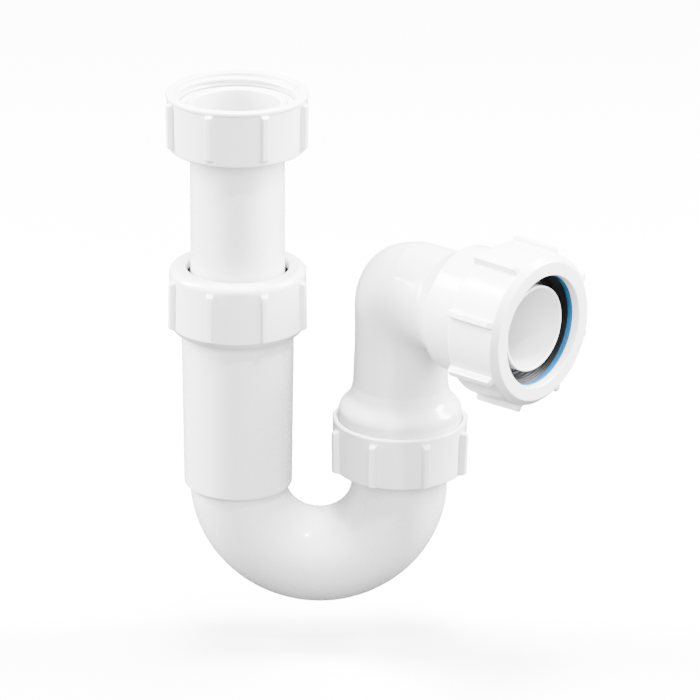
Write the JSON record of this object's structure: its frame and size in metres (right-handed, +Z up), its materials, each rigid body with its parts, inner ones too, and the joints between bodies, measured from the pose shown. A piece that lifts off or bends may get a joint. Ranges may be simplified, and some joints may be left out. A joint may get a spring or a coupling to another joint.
{
  "type": "tubular swivel p-trap",
  "caption": "White plastic P-trap with a telescopic inlet leg, a U-bend and a swivelling outlet elbow, joined by ribbed coupling nuts.",
  "frame": {"origin": "centre of the inlet tube's rim, on the inlet leg's axis, at the lower end of the inlet nut's exposed thread", "axes": "+Z up along the inlet leg towards the basin or sink, +X from the inlet leg to the outlet leg, +Y to the back"},
  "size_m": [0.1623, 0.0941, 0.2111],
  "materials": {
    "white_plastic": "satin-gloss injection-moulded white polypropylene",
    "washer_plastic": "pale soft plastic sealing washer",
    "ring_plastic": "white low-friction plastic ring",
    "blue_plastic": "smooth blue low-friction plastic ring",
    "black_rubber": "matt black moulded rubber"
  },
  "bodies": {
    "inlet_nut": {"inlet_nut": "white_plastic"},
    "inlet_tube": {"inlet_tube": "white_plastic", "inlet_washer": "washer_plastic"},
    "compression_seal": {"compression_seal": "black_rubber"},
    "trap_body": {"inlet_sleeve": "white_plastic", "u_bend": "white_plastic", "swivel_seal": "black_rubber"},
    "compression_slip_ring": {"compression_slip_ring": "ring_plastic"},
    "compression_nut": {"compression_nut": "white_plastic"},
    "outlet_elbow": {"outlet_elbow": "white_plastic", "outlet_seal": "black_rubber"},
    "swivel_nut": {"swivel_nut": "white_plastic"},
    "outlet_slip_ring": {"outlet_slip_ring": "blue_plastic"},
    "outlet_nut": {"outlet_nut": "white_plastic"}
  },
  "joints": [
    {"name": "inlet_tube_turn", "type": "hinge", "parent": "inlet_nut", "child": "inlet_tube", "pos_m": [0, 0, 0], "axis": [0, 0, 1], "continuous": true},
    {"name": "telescope", "type": "slide", "parent": "inlet_tube", "child": "compression_seal", "axis": [0, 0, 1], "range_m": [-0.015, 0.04]},
    {"name": "trap_turn", "type": "hinge", "parent": "compression_seal", "child": "trap_body", "pos_m": [0, 0, 0], "axis": [0, 0, 1], "continuous": true},
    {"name": "compression_nut_turn", "type": "hinge", "parent": "compression_slip_ring", "child": "compression_nut", "pos_m": [0, 0, 0], "axis": [0, 0, 1], "range_deg": [0, 720]},
    {"name": "compression_nut_travel", "type": "slide", "parent": "trap_body", "child": "compression_slip_ring", "axis": [0, 0, 1], "range_m": [0, 0.0047]},
    {"name": "outlet_swivel", "type": "hinge", "parent": "trap_body", "child": "outlet_elbow", "pos_m": [0.0636, 0, -0.1402], "axis": [0, 0, 1], "range_deg": [-75, 155]},
    {"name": "swivel_nut_turn", "type": "hinge", "parent": "outlet_elbow", "child": "swivel_nut", "pos_m": [0.0636, 0, -0.1389], "axis": [0, 0, 1], "range_deg": [-720, 0]},
    {"name": "outlet_nut_travel", "type": "slide", "parent": "outlet_elbow", "child": "outlet_slip_ring", "axis": [0.766, -0.6428, 0], "range_m": [0, 0.0047]},
    {"name": "outlet_nut_turn", "type": "hinge", "parent": "outlet_slip_ring", "child": "outlet_nut", "pos_m": [0.10956, -0.03857, -0.07445], "axis": [0.766, -0.6428, 0], "range_deg": [0, 720]}
  ],
  "couplings": [
    {"joint": "compression_nut_travel", "follows": "compression_nut_turn", "m_per_rad": 0.00036749},
    {"joint": "outlet_nut_travel", "follows": "outlet_nut_turn", "m_per_rad": 0.00036749}
  ]
}
